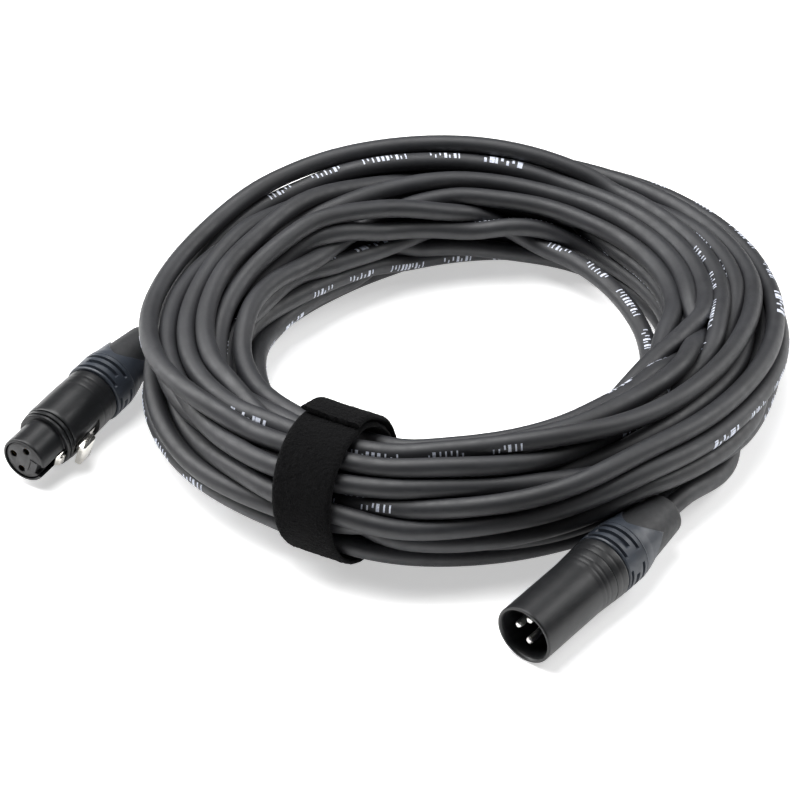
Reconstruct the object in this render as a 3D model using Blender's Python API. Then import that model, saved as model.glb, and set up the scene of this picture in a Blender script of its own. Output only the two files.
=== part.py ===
"""A three-pole microphone cable, wound into a coil and held by a hook-and-loop tie.

Metres, +Z up, lying on the plane z = 0. The origin is the middle of the whole outline on that plane.
Outlines of turned and sawn pieces are given in millimetres: x runs along a connector's axis from its face
to its boot, and the key that lines up a pair of connectors is on the side of +Z before the connector rolls.
"""

import math

import bmesh
import bpy
from mathutils import Matrix, Vector

MM = 0.001
GAP = 0.3

# The cable and the coil it is wound into.
CABLE_RADIUS = 3.2
COIL_CENTRE = Vector((0.0182, 0.0160, 0.0))
COIL_RADIUS = 84.6
COIL_OVAL = 7.1
COIL_SHIFT = 1.5
COIL_CORNER = 2.1
BUNDLE_HALF_WIDTH = 22.3
BUNDLE_HALF_HEIGHT = 19.8
LOOSEST_AT = math.radians(30)
SPREAD_WIDTH = 3.4
SPREAD_HEIGHT = 3.0
SIDE_FLATTENING = 2.9
COIL_SECTIONS = 52
BUNDLE_POINTS = 18

# The tie that squeezes the bundle.
TIE_AT = math.radians(-117.2)
TIE_RADIUS = 89.0
TIE_REACH = math.radians(17)
TIED_HALF_WIDTH = 18.8
TIED_HALF_HEIGHT = 18.2
STRAP_WIDTH = 20.0
STRAP_THICKNESS = 1.6
STRAP_ROOM = 2.1
STRAP_LEAN = 3.0
TAB_FROM = math.radians(97)
TAB_TO = math.radians(166)
LOOP_STEPS = 40
TAB_STEPS = 10

# Where the two connectors lie: the middle of the face and the middle of the boot's end.
MALE_FACE = Vector((0.0336, -0.1191, 0.0098))
MALE_BOOT_END = Vector((0.0798, -0.0635, 0.0112))
MALE_ROLL = math.radians(90)
FEMALE_FACE = Vector((-0.1233, -0.0360, 0.0099))
FEMALE_BOOT_END = Vector((-0.0893, 0.0250, 0.0112))
FEMALE_ROLL = math.radians(109)

# What both connectors share, along the axis from the face.
CONTACT_CIRCLE = 4.1
CONTACT_RADIUS = 1.2
CUP_RADIUS = 1.5
CUP_BORE = 1.0
WIRE_RADIUS = 0.6
MALE_CUP_END = 29.0
FEMALE_CUP_END = 28.5
SHELL_END = 39.0
THREAD_END = 47.0
THREAD_RADIUS = 8.4
REAR_BORE = 7.6
THREAD_ROOM = 0.4
NUT_RADIUS = 10.5
NUT_END = 49.0
JACKET_START = 35.7
JACKET_ROOM = 0.5
BOOT_END = 72.0
BOOT_TRAVEL = 3.0
BOOT_CLEARANCE = 0.9
TURNED_STEPS = 32
INNER_STEPS = 24
CONTACT_STEPS = 12

# The routes of the two ends of the cable, from 12 mm behind each boot to where they dive into the coil.
STRAIGHT_RUN = 12.0
MALE_ROUTE = [
    (0.0955, -0.0437, 0.0075),
    (0.1022, -0.0322, 0.0040),
    (0.1056, -0.0190, 0.0035),
    (0.1063, -0.0065, 0.0035),
]
FEMALE_ROUTE = [
    (-0.0783, 0.0432, 0.0105),
    (-0.0712, 0.0515, 0.0098),
    (-0.0640, 0.0585, 0.0093),
]
ROUTE_STEP = 2.4 * CABLE_RADIUS * MM


def material(name, colour, roughness, metallic=0.0):
    found = bpy.data.materials.new(name)
    found.use_nodes = True
    shader = found.node_tree.nodes["Principled BSDF"]
    shader.inputs["Base Color"].default_value = (*colour, 1.0)
    shader.inputs["Roughness"].default_value = roughness
    shader.inputs["Metallic"].default_value = metallic
    return found


def add_object(name, bm, frame, finish):
    """Turns bm into a named object in the given empty's frame."""
    bmesh.ops.recalc_face_normals(bm, faces=bm.faces)
    mesh = bpy.data.meshes.new(name)
    bm.to_mesh(mesh)
    bm.free()
    mesh.shade_smooth()
    mesh.set_sharp_from_angle(angle=math.radians(35))
    mesh.materials.append(finish)
    obj = bpy.data.objects.new(name, mesh)
    obj.parent = frame
    bpy.context.scene.collection.objects.link(obj)
    return obj


def add_frame(name, matrix):
    empty = bpy.data.objects.new(name, None)
    empty.matrix_world = matrix
    bpy.context.scene.collection.objects.link(empty)
    return empty


def connector_frame(name, face, boot_end, roll):
    """An empty at the face's middle: X runs back to the boot, and the key is on the side of Z."""
    along = (boot_end - face).normalized()
    left = Vector((0, 0, 1)).cross(along).normalized()
    axes = Matrix((along, left, along.cross(left))).transposed().to_4x4()
    return add_frame(name, Matrix.Translation(face) @ axes @ Matrix.Rotation(roll, 4, "X"))


def turned(outline, steps=TURNED_STEPS):
    """A body turned about X from (x, radius) points: closed by the axis if it starts there, else a ring."""
    bm = bmesh.new()
    verts = [bm.verts.new((x * MM, 0, radius * MM)) for x, radius in outline]
    edges = [bm.edges.new(pair) for pair in zip(verts, verts[1:])]
    if outline[0][1] > 0:
        edges.append(bm.edges.new((verts[-1], verts[0])))
    bmesh.ops.spin(bm, geom=verts + edges, axis=(1, 0, 0), angle=math.tau, steps=steps, use_merge=True)
    bmesh.ops.remove_doubles(bm, verts=bm.verts, dist=0.001 * MM)
    return bm


def sawn(outline, half_width):
    """A plate with its outline in (x, z), as thick as twice half_width along Y."""
    bm = bmesh.new()
    face = bm.faces.new([bm.verts.new((x * MM, -half_width * MM, z * MM)) for x, z in outline])
    raised = bmesh.ops.extrude_face_region(bm, geom=[face])["geom"]
    moved = [item for item in raised if isinstance(item, bmesh.types.BMVert)]
    bmesh.ops.translate(bm, verts=moved, vec=(0, 2 * half_width * MM, 0))
    return bm


def strip(points, thickness, half_width):
    """A bent strip of spring metal that follows (x, z) points."""
    lower = [(x, z - thickness / 2) for x, z in points]
    upper = [(x, z + thickness / 2) for x, z in reversed(points)]
    return sawn(lower + upper, half_width)


def change(target, tool, operation="DIFFERENCE"):
    """Cuts the tool out of the target, or joins it on, and keeps the tool as a hidden guide."""
    tool.hide_render = True
    tool.display_type = "WIRE"
    boolean = target.modifiers.new(tool.name, "BOOLEAN")
    boolean.operation = operation
    boolean.object = tool


def smooth_route(points, step):
    """Points about a step apart on the Catmull-Rom curve through the given points."""
    ends = [2 * points[0] - points[1], *points, 2 * points[-1] - points[-2]]
    route = []
    for before, start, end, after in zip(ends, ends[1:], ends[2:], ends[3:]):
        count = max(2, round((end - start).length / step))
        for k in range(count):
            t = k / count
            bend = 2 * before - 5 * start + 4 * end - after
            twist = 3 * start - before - 3 * end + after
            route.append(start + ((end - before) * t + bend * t**2 + twist * t**3) / 2)
    return [*route, points[-1]]


def tube(name, points, radius, finish, frame=None):
    """A round wire or cable through the points, with closed ends."""
    curve = bpy.data.curves.new(name, "CURVE")
    curve.dimensions = "3D"
    curve.bevel_depth = radius * MM
    curve.bevel_resolution = 2
    curve.use_fill_caps = True
    spline = curve.splines.new("POLY")
    spline.points.add(len(points) - 1)
    for place, point in zip(spline.points, points):
        place.co = (*point, 1.0)
    curve.materials.append(finish)
    obj = bpy.data.objects.new(name, curve)
    obj.parent = frame
    bpy.context.scene.collection.objects.link(obj)
    return obj


# The coil: one closed ring of the bundle's outer shape.


def near_tie(angle):
    """1 where the tie holds the bundle, fading to 0 either side of it."""
    away = abs(math.remainder(angle - TIE_AT, math.tau)) / TIE_REACH
    return 1.0 / (1.0 + away**6)


def coil_radius(angle):
    oval = COIL_OVAL * math.sin(2 * angle)
    shift = COIL_SHIFT * math.cos(angle)
    corner = COIL_CORNER * math.cos(3 * angle)
    tied = near_tie(angle)
    return (1 - tied) * (COIL_RADIUS + oval + shift - corner) + tied * TIE_RADIUS


def bundle_size(angle):
    """The bundle's half width and half height: wide and flat opposite the tie, tall at the sides."""
    loose = math.cos(angle - LOOSEST_AT)
    side = SIDE_FLATTENING * math.cos(2 * (angle - LOOSEST_AT))
    tied = near_tie(angle)
    width = (1 - tied) * (BUNDLE_HALF_WIDTH + SPREAD_WIDTH * loose + side) + tied * TIED_HALF_WIDTH
    height = (1 - tied) * (BUNDLE_HALF_HEIGHT - SPREAD_HEIGHT * loose - side) + tied * TIED_HALF_HEIGHT
    return width, height


def coil_section(angle):
    """One ring of points around the bundle, flat underneath, and lifted where the strap passes under it."""
    width, height = bundle_size(angle)
    floor = near_tie(angle) * (STRAP_THICKNESS + STRAP_ROOM)
    flat = height * (1 - math.cos(math.tau / BUNDLE_POINTS))
    outward = Vector((math.cos(angle), math.sin(angle), 0))
    points = []
    for k in range(BUNDLE_POINTS):
        turn = math.tau * k / BUNDLE_POINTS - math.pi / 2
        radial = coil_radius(angle) + width * math.cos(turn)
        z = max(floor, floor + height - flat + height * math.sin(turn))
        points.append(COIL_CENTRE + outward * radial * MM + Vector((0, 0, z * MM)))
    return points


def coil_body():
    bm = bmesh.new()
    rings = [
        [bm.verts.new(point) for point in coil_section(math.tau * k / COIL_SECTIONS)]
        for k in range(COIL_SECTIONS)
    ]
    for ring, following in zip(rings, rings[1:] + rings[:1]):
        for k in range(BUNDLE_POINTS):
            after = (k + 1) % BUNDLE_POINTS
            bm.faces.new((ring[k], ring[after], following[after], following[k]))
    return bm


# The two ends of the cable, and the room that they and the boots need in the coil.


def cable_end(name, frame, route, finish):
    """A stretch of cable from its clamp in the shell, through the boot, along its route into the coil."""
    clamped = frame @ Vector((JACKET_START * MM, 0, 0))
    straight = [frame @ Vector(((BOOT_END + run) * MM, 0, 0)) for run in (0, STRAIGHT_RUN)]
    points = smooth_route([clamped, *straight, *map(Vector, route)], ROUTE_STEP)
    tube(name, points, CABLE_RADIUS, finish)
    return points


def boot_room(name, frame, finish):
    """A blunt plug as wide as the boot with room to turn and to draw back."""
    drawn_back = BOOT_END + BOOT_TRAVEL
    sizes = [(44.0, NUT_RADIUS), (NUT_END, NUT_RADIUS), (57.0, 8.6), (BOOT_END, 6.8), (drawn_back, 6.8)]
    outline = [(44.0, 0.0), *[(x, radius + BOOT_CLEARANCE) for x, radius in sizes], (drawn_back, 0.0)]
    return add_object(name, turned(outline, INNER_STEPS), frame, finish)


def route_room(name, points, finish):
    """A tunnel around a cable end, a little longer than it, left in the coil. It starts inside the boot."""
    inside_boot = 3
    last = points[-1] + (points[-1] - points[-2]).normalized() * GAP * MM
    tunnel = tube(name, [*points[inside_boot:-1], last], CABLE_RADIUS + GAP, finish)
    solid = bpy.data.meshes.new_from_object(tunnel)
    bpy.data.objects.remove(tunnel)
    obj = bpy.data.objects.new(name, solid)
    bpy.context.scene.collection.objects.link(obj)
    return obj


# What the two connectors share.


def contact_places():
    """Where contacts 1, 2 and 3 stand on their circle: 3 is opposite the key."""
    return [(-CONTACT_CIRCLE, 0.0), (CONTACT_CIRCLE, 0.0), (0.0, -CONTACT_CIRCLE)]


def at_contact(obj, place):
    obj.location = (0, place[0] * MM, place[1] * MM)
    return obj


def add_wires(prefix, frame, cup_end, finishes):
    """The shield and the two cores, from the jacket's cut end into the solder cups of contacts 1, 2 and 3."""
    names = ("shield_lead", "hot_core", "cold_core")
    for name, finish, (y, z) in zip(names, finishes, contact_places()):
        spread = [
            (JACKET_START - 0.7, 0.38),
            (JACKET_START - 2.0, 0.40),
            (31.6, 0.57),
            (cup_end + 0.3, 0.98),
            (cup_end - 1.8, 1.0),
        ]
        points = [Vector((x, y * share, z * share)) * MM for x, share in spread]
        route = smooth_route(points, 2 * WIRE_RADIUS * MM)
        tube(f"{prefix}_{name}", route, WIRE_RADIUS, finish, frame)


def add_chuck(prefix, frame, finish):
    """The split collet that grips the jacket, with two slots across each other."""
    bore = CABLE_RADIUS + JACKET_ROOM
    outline = [(31.5, bore), (31.5, 6.6), (32.0, 7.0), (42.0, 7.0), (46.8, 5.1), (46.8, bore)]
    chuck = add_object(f"{prefix}_chuck", turned(outline, INNER_STEPS), frame, finish)
    for k in range(2):
        slot = sawn([(36.0, -9.0), (50.0, -9.0), (50.0, 9.0), (36.0, 9.0)], 0.6)
        cutter = add_object(f"{prefix}_chuck_slot_{k}", slot, frame, finish)
        cutter.rotation_euler = (math.radians(45 + 90 * k), 0, 0)
        change(chuck, cutter)


def add_bushing(prefix, frame, finish):
    """The ring nut that screws onto the shell, with the cone that closes the chuck."""
    front = SHELL_END + GAP
    bore = THREAD_RADIUS + THREAD_ROOM
    collar = [(front, bore), (front, 10.1), (39.8, NUT_RADIUS), (42.0, NUT_RADIUS)]
    groove = [(42.2, 10.2), (42.8, 10.2), (43.0, NUT_RADIUS), (48.0, NUT_RADIUS)]
    petals = [(48.9, 10.3), (55.7, 9.0), (55.7, 7.3), (48.9, 7.3)]
    cone = [(48.9, 4.6), (47.5, 5.6), (47.5, bore)]
    add_object(f"{prefix}_bushing", turned([*collar, *groove, *petals, *cone]), frame, finish)


def add_boot(prefix, frame, finish):
    bore = CABLE_RADIUS + JACKET_ROOM
    neck = [(49.2, bore), (49.2, 7.0), (56.0, 7.0), (56.0, 8.5), (57.0, 8.6)]
    taper = [(65.0, 7.6), (71.2, 6.8), (BOOT_END, 6.2), (BOOT_END, bore)]
    add_object(f"{prefix}_boot", turned([*neck, *taper], INNER_STEPS), frame, finish)


def add_earth_spring(prefix, frame, points, finish):
    """A strip that bears on the shell's wall opposite the key and joins it to the shield."""
    add_object(f"{prefix}_earth_spring", strip(points, 0.4, 2.2), frame, finish)


# The male connector.


def male_shell(frame, finish):
    barrel = [(0.0, 8.2), (0.0, 9.3), (0.4, 9.7), (27.0, 9.7), (33.0, 10.1)]
    flange = [(33.4, 9.9), (34.0, 9.9), (34.4, 10.2), (37.5, 10.4), (38.6, 10.4), (SHELL_END, 10.0)]
    thread = [(SHELL_END, THREAD_RADIUS), (THREAD_END, THREAD_RADIUS), (THREAD_END, REAR_BORE)]
    bore = [(24.0, REAR_BORE), (24.0, 8.2)]
    shell = add_object("male_housing", turned([*barrel, *flange, *thread, *bore]), frame, finish)
    key = sawn([(2.5, 7.1), (15.0, 7.1), (15.0, 8.9), (2.5, 8.9)], 0.8)
    change(shell, add_object("male_key", key, frame, finish), "UNION")


def male_insert(frame, finish):
    outline = [(15.5, 0.0), (15.5, 7.9), (23.5, 7.9), (23.5, 0.0)]
    insert = add_object("male_insert", turned(outline, INNER_STEPS), frame, finish)
    for number, place in enumerate(contact_places(), 1):
        radius = CONTACT_RADIUS + GAP
        hole = turned([(14.0, 0.0), (14.0, radius), (25.0, radius), (25.0, 0.0)], CONTACT_STEPS)
        change(insert, at_contact(add_object(f"male_insert_hole_{number}", hole, frame, finish), place))
    seat = sawn([(14.0, -9.0), (25.0, -9.0), (25.0, -6.9), (14.0, -6.9)], 5.0)
    change(insert, add_object("male_insert_seat", seat, frame, finish))


def male_pins(frame, finish):
    """Three pins with round noses, a collar behind the insert and a solder cup."""
    nose = [(2.5, 0.0), (2.6, 0.6), (3.0, 1.05), (3.6, CONTACT_RADIUS)]
    collar = [(23.8, CONTACT_RADIUS), (23.8, 1.8), (24.6, 1.8), (24.6, CUP_RADIUS)]
    cup = [(MALE_CUP_END, CUP_RADIUS), (MALE_CUP_END, CUP_BORE), (25.6, CUP_BORE), (25.4, 0.0)]
    for number, place in enumerate(contact_places(), 1):
        pin = turned([*nose, *collar, *cup], CONTACT_STEPS)
        at_contact(add_object(f"male_pin_{number}", pin, frame, finish), place)


# The female connector.

SLOT_HALF_WIDTH = 2.3
CHANNEL_FLOOR = 4.9
LATCH_PIVOT = (26.0, 8.0)
LATCH_PIN_RADIUS = 0.6
LATCH_EYE_RADIUS = 1.4
LATCH_HALF_WIDTH = 1.8


def female_shell(frame, finish):
    nose = [(0.0, 7.0), (0.0, 7.5), (0.4, 7.9), (11.5, 7.9)]
    rings = [(11.5, 9.4), (12.7, 9.6), (12.7, 9.1), (13.1, 9.1), (13.1, 9.8), (14.5, 9.8), (14.5, 9.4)]
    barrel = [(14.9, 9.4), (14.9, 9.9), (16.0, 10.1), (28.0, 10.1), (38.5, 9.8), (SHELL_END, 9.5)]
    thread = [(SHELL_END, THREAD_RADIUS), (THREAD_END, THREAD_RADIUS), (THREAD_END, REAR_BORE)]
    bore = [(24.0, REAR_BORE), (24.0, 7.0)]
    shell = add_object("female_housing", turned([*nose, *rings, *barrel, *thread, *bore]), frame, finish)
    channel = [(-1.0, CHANNEL_FLOOR), (28.4, CHANNEL_FLOOR), (28.4, 13.0)]
    bridge = [(15.3, 13.0), (15.3, 8.8), (11.2, 8.8), (11.2, 13.0)]
    slot = sawn([*channel, *bridge, (-1.0, 13.0)], SLOT_HALF_WIDTH)
    change(shell, add_object("female_latch_slot", slot, frame, finish))
    change(shell, add_object("female_latch_pin_hole", latch_pin_body(GAP, 4.6), frame, finish))


def latch_pin_body(extra, half_length):
    """A rod across the latch's pivot."""
    bm = bmesh.new()
    radius = (LATCH_PIN_RADIUS + extra) * MM
    bmesh.ops.create_cone(
        bm, cap_ends=True, segments=12, radius1=radius, radius2=radius, depth=2 * half_length * MM
    )
    bmesh.ops.rotate(bm, verts=bm.verts, matrix=Matrix.Rotation(math.pi / 2, 3, "X"))
    bmesh.ops.translate(bm, verts=bm.verts, vec=(LATCH_PIVOT[0] * MM, 0, LATCH_PIVOT[1] * MM))
    return bm


def female_insert(frame, finish):
    outline = [(0.3, 0.0), (0.3, 6.4), (0.5, 6.7), (14.0, 6.7), (14.0, 6.4), (22.0, 6.4), (22.0, 0.0)]
    insert = add_object("female_insert", turned(outline, INNER_STEPS), frame, finish)
    hole = [(-1.0, 0.0), (-1.0, 1.3), (1.1, 1.3), (1.1, 1.9), (23.0, 1.9), (23.0, 0.0)]
    for number, place in enumerate(contact_places(), 1):
        cutter = add_object(f"female_insert_hole_{number}", turned(hole, CONTACT_STEPS), frame, finish)
        change(insert, at_contact(cutter, place))
    channel = [(-1.0, CHANNEL_FLOOR), (23.0, CHANNEL_FLOOR), (23.0, 8.0), (-1.0, 8.0)]
    change(insert, add_object("female_insert_channel", sawn(channel, SLOT_HALF_WIDTH), frame, finish))


def female_contacts(frame, finish):
    """Three sockets with a solder cup."""
    bore = [(13.4, 0.0), (13.2, 1.25), (1.4, 1.25)]
    outside = [(1.4, 1.6), (24.0, 1.6), (FEMALE_CUP_END, CUP_RADIUS)]
    cup = [(FEMALE_CUP_END, CUP_BORE), (25.0, CUP_BORE), (24.8, 0.0)]
    for number, place in enumerate(contact_places(), 1):
        socket = turned([*bore, *outside, *cup], CONTACT_STEPS)
        at_contact(add_object(f"female_socket_{number}", socket, frame, finish), place)


def latch(frame, finish):
    """A lever that turns on a cross pin behind its button, with a hook in the nose's channel."""
    eye_x, eye_z = LATCH_PIVOT
    eye = [
        (eye_x + LATCH_EYE_RADIUS * math.sin(turn), eye_z + LATCH_EYE_RADIUS * math.cos(turn))
        for turn in [math.radians(10 + 20 * k) for k in range(9)]
    ]
    hook = [(24.8, 7.1), (7.4, 7.1), (7.0, 7.6), (7.9, 9.1), (10.2, 9.1), (10.4, 8.3)]
    button = [(15.9, 8.3), (16.1, 11.8), (16.6, 12.3), (21.4, 12.3), (22.6, 11.2), (23.4, 9.3)]
    lever = add_object("latch_lever", sawn([*hook, *button, *eye], LATCH_HALF_WIDTH), frame, finish)
    plate = [(16.1, 11.3), (22.0, 11.3), (21.5, 12.3), (16.6, 12.5)]
    change(lever, add_object("latch_button_plate", sawn(plate, 2 * LATCH_HALF_WIDTH), frame, finish), "UNION")
    change(lever, add_object("latch_lever_hole", latch_pin_body(GAP, 3.0), frame, finish))
    add_object("latch_pin", latch_pin_body(0.0, 4.3), frame, finish)
    add_object("latch_spring", strip([(14.6, 5.4), (18.2, 6.5), (21.8, 5.4)], 0.3, 1.3), frame, finish)


# The tie.


def tie_frame():
    """An empty at the bundle's middle under the tie: X points outwards from the coil, Y along the bundle."""
    outward = Vector((math.cos(TIE_AT), math.sin(TIE_AT), 0))
    height = STRAP_THICKNESS + STRAP_ROOM + TIED_HALF_HEIGHT
    place = COIL_CENTRE + outward * TIE_RADIUS * MM + Vector((0, 0, height * MM))
    return add_frame("tie_frame", Matrix.Translation(place) @ Matrix.Rotation(TIE_AT, 4, "Z"))


def strap_point(turn, out, side):
    """A point at a turn around the bundle, out from the strap's inner face, at one side of the strap."""
    x = (TIED_HALF_WIDTH + STRAP_ROOM + out) * math.cos(turn)
    z = (TIED_HALF_HEIGHT + STRAP_ROOM + out) * math.sin(turn)
    lean = -STRAP_LEAN * z / (TIED_HALF_HEIGHT + STRAP_ROOM)
    return Vector((x, side * STRAP_WIDTH / 2 + lean, z)) * MM


def band(turns, inner, outer, closed):
    """A strap of even thickness that follows the turns around the bundle."""
    bm = bmesh.new()
    corners = [(inner, -1), (outer, -1), (outer, 1), (inner, 1)]
    rows = [[bm.verts.new(strap_point(turn, out, side)) for out, side in corners] for turn in turns]
    for row, following in zip(rows, rows[1:] + rows[:1] if closed else rows[1:]):
        for k in range(4):
            after = (k + 1) % 4
            bm.faces.new((row[k], row[after], following[after], following[k]))
    if not closed:
        bm.faces.new(rows[0])
        bm.faces.new(rows[-1])
    return bm


def add_tie(frame, finish):
    loop = [math.tau * k / LOOP_STEPS for k in range(LOOP_STEPS)]
    add_object("tie_strap", band(loop, 0.0, STRAP_THICKNESS, True), frame, finish)
    over = STRAP_THICKNESS + GAP
    flap = [TAB_FROM + (TAB_TO - TAB_FROM) * k / TAB_STEPS for k in range(TAB_STEPS + 1)]
    add_object("tie_tab", band(flap, over, over + STRAP_THICKNESS, False), frame, finish)


# Everything together.


def build():
    jacket = material("cable_jacket", (0.030, 0.031, 0.034), 0.45)
    shell = material("black_shell", (0.016, 0.016, 0.018), 0.30, 0.6)
    plastic = material("black_plastic", (0.012, 0.012, 0.012), 0.45)
    grey = material("grey_plastic", (0.050, 0.058, 0.070), 0.40)
    rubber = material("boot_rubber", (0.024, 0.025, 0.027), 0.60)
    chuck = material("white_plastic", (0.60, 0.60, 0.58), 0.45)
    nickel = material("nickel", (0.62, 0.60, 0.56), 0.25, 1.0)
    silver = material("silver_contact", (0.78, 0.77, 0.74), 0.22, 1.0)
    brass = material("brass_contact", (0.66, 0.50, 0.26), 0.28, 1.0)
    copper = material("copper", (0.72, 0.40, 0.26), 0.35, 1.0)
    red = material("red_core", (0.55, 0.04, 0.03), 0.45)
    white = material("white_core", (0.75, 0.75, 0.73), 0.45)
    fabric = material("hook_and_loop", (0.010, 0.010, 0.011), 0.95)

    male = connector_frame("male_frame", MALE_FACE, MALE_BOOT_END, MALE_ROLL)
    male_shell(male, shell)
    male_insert(male, plastic)
    male_pins(male, silver)
    add_earth_spring("male", male, [(16.6, -7.4), (23.5, -7.3), (25.0, -6.4), (28.1, -6.4)], nickel)
    add_wires("male", male, MALE_CUP_END, (copper, red, white))

    female = connector_frame("female_frame", FEMALE_FACE, FEMALE_BOOT_END, FEMALE_ROLL)
    female_shell(female, shell)
    female_insert(female, plastic)
    female_contacts(female, brass)
    add_earth_spring("female", female, [(24.6, -6.9), (28.0, -6.9), (29.0, -6.2), (31.0, -6.2)], nickel)
    add_wires("female", female, FEMALE_CUP_END, (copper, red, white))
    latch(female, nickel)

    coil = add_object("cable_coil", coil_body(), None, jacket)
    for prefix, frame, route in (("male", male, MALE_ROUTE), ("female", female, FEMALE_ROUTE)):
        add_chuck(prefix, frame, chuck)
        add_bushing(prefix, frame, grey)
        add_boot(prefix, frame, rubber)
        change(coil, boot_room(f"{prefix}_boot_room", frame, jacket))
        points = cable_end(f"cable_{prefix}_end", frame.matrix_world, route, jacket)
        change(coil, route_room(f"cable_{prefix}_room", points, jacket))

    add_tie(tie_frame(), fabric)


for startup_object in list(bpy.data.objects):
    bpy.data.objects.remove(startup_object)
build()
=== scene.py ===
"""Looks of the cable coil: one 15 m cord wound turn by turn, its two connectors, and the tie's fabric.

Points are in the row frame. The camera, lights, floor and materials are in metres.
"""

import math

import bmesh
import bpy
import numpy as np
from mathutils import Matrix, Vector


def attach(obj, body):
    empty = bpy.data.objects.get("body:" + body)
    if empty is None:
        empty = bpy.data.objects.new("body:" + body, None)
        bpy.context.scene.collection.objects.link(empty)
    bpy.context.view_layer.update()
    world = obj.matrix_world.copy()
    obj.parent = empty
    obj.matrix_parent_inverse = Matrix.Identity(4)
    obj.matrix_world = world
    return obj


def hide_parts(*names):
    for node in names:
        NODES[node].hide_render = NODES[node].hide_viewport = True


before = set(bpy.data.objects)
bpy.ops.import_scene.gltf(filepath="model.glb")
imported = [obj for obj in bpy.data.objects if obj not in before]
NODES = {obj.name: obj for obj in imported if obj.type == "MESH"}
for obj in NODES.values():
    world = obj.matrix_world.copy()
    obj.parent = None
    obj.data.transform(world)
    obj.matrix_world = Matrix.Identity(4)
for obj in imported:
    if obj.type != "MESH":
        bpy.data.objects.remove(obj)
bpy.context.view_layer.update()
MM = 0.001
TAU = math.tau

# ------------------------------ camera, light and floor

VIEW_ELEVATION = math.radians(37.0)
VIEW_DISTANCE = 0.89
VIEW_AIM = Vector((-0.0028, 0.0094, 0.0))
LENS, SENSOR = 119.25, 36.0

SKY_FROM = (-0.25, 0.45, 0.86)
SKY_SPREAD = (-0.35, 0.95)
SKY_DIM, SKY_BRIGHT = 0.04, 1.05
# Each softbox: its name, its place, the point it faces, its size and its power in watts.
SOFTBOXES = [
    ("top", (-0.20, 0.25, 1.10), (0.0, 0.0, 0.0), (0.90, 0.80), 16.5),
    ("left", (-0.85, 0.30, 0.60), (-0.05, 0.0, 0.02), (0.45, 0.80), 10.0),
    ("right", (0.85, 0.30, 0.55), (0.05, 0.0, 0.02), (0.45, 0.80), 6.0),
]
FLOOR_SIZE, FLOOR_HEIGHT = 6.0, -0.0002
FLOOR_WHITE, FLOOR_GLOW = (0.94, 0.94, 0.94), 0.5


def add_camera():
    data = bpy.data.cameras.new("camera")
    data.lens, data.sensor_width = LENS, SENSOR
    data.clip_start = 0.01
    camera = bpy.data.objects.new("camera", data)
    back = Vector((0, -math.cos(VIEW_ELEVATION), math.sin(VIEW_ELEVATION)))
    camera.location = VIEW_AIM + back * VIEW_DISTANCE
    camera.rotation_euler = (math.pi / 2 - VIEW_ELEVATION, 0, 0)
    bpy.context.scene.collection.objects.link(camera)
    bpy.context.scene.camera = camera


def add_area_light(name, place, aim, size, watts):
    data = bpy.data.lights.new(name, "AREA")
    data.shape = "RECTANGLE"
    data.size, data.size_y = size
    data.energy = watts
    light = bpy.data.objects.new(name, data)
    light.location = place
    light.rotation_euler = (Vector(aim) - Vector(place)).to_track_quat("-Z", "Y").to_euler()
    bpy.context.scene.collection.objects.link(light)


def add_light():
    """A room that is bright overhead and behind and dim towards the camera, with a softbox on each side."""
    world = bpy.data.worlds.new("studio")
    world.use_nodes = True
    nodes, links = world.node_tree.nodes, world.node_tree.links
    place = nodes.new("ShaderNodeTexCoord")
    towards = nodes.new("ShaderNodeVectorMath")
    towards.operation = "DOT_PRODUCT"
    towards.inputs[1].default_value = SKY_FROM
    spread = nodes.new("ShaderNodeMapRange")
    spread.interpolation_type = "SMOOTHSTEP"
    set_range(spread, SKY_SPREAD, (SKY_DIM, SKY_BRIGHT))
    links.new(place.outputs["Generated"], towards.inputs[0])
    links.new(towards.outputs["Value"], spread.inputs["Value"])
    links.new(spread.outputs["Result"], nodes["Background"].inputs["Strength"])
    bpy.context.scene.world = world
    for softbox in SOFTBOXES:
        add_area_light(*softbox)
    bpy.context.scene.view_settings.view_transform = "Standard"


def add_floor():
    bpy.ops.mesh.primitive_plane_add(size=FLOOR_SIZE, location=(0, 0, FLOOR_HEIGHT))
    floor = bpy.context.object
    floor.name = "floor"
    paper = surface("floor_paper", FLOOR_WHITE, 0.8)
    shader = paper.node_tree.nodes["Principled BSDF"]
    shader.inputs["Emission Color"].default_value = (1.0, 1.0, 1.0, 1.0)
    shader.inputs["Emission Strength"].default_value = FLOOR_GLOW
    floor.data.materials.append(paper)


# ------------------------------ materials

NOISE_SPREAD = (0.3, 0.7)
TINT_FROM, TINT_TO = 0.35, 0.68
SCRATCHES = (1.0, 1.0, 12.0)
SHEEN_ROUGHNESS = 0.4


def surface(name, colour, roughness, metallic=0.0, specular=0.5, sheen=0.0):
    """A Principled material with its plain values set on the shader's own sockets."""
    made = bpy.data.materials.new(name)
    made.use_nodes = True
    shader = made.node_tree.nodes["Principled BSDF"]
    shader.inputs["Base Color"].default_value = (*colour, 1.0)
    shader.inputs["Roughness"].default_value = roughness
    shader.inputs["Metallic"].default_value = metallic
    shader.inputs["Specular IOR Level"].default_value = specular
    shader.inputs["Sheen Weight"].default_value = sheen
    shader.inputs["Sheen Roughness"].default_value = SHEEN_ROUGHNESS
    return made


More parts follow.
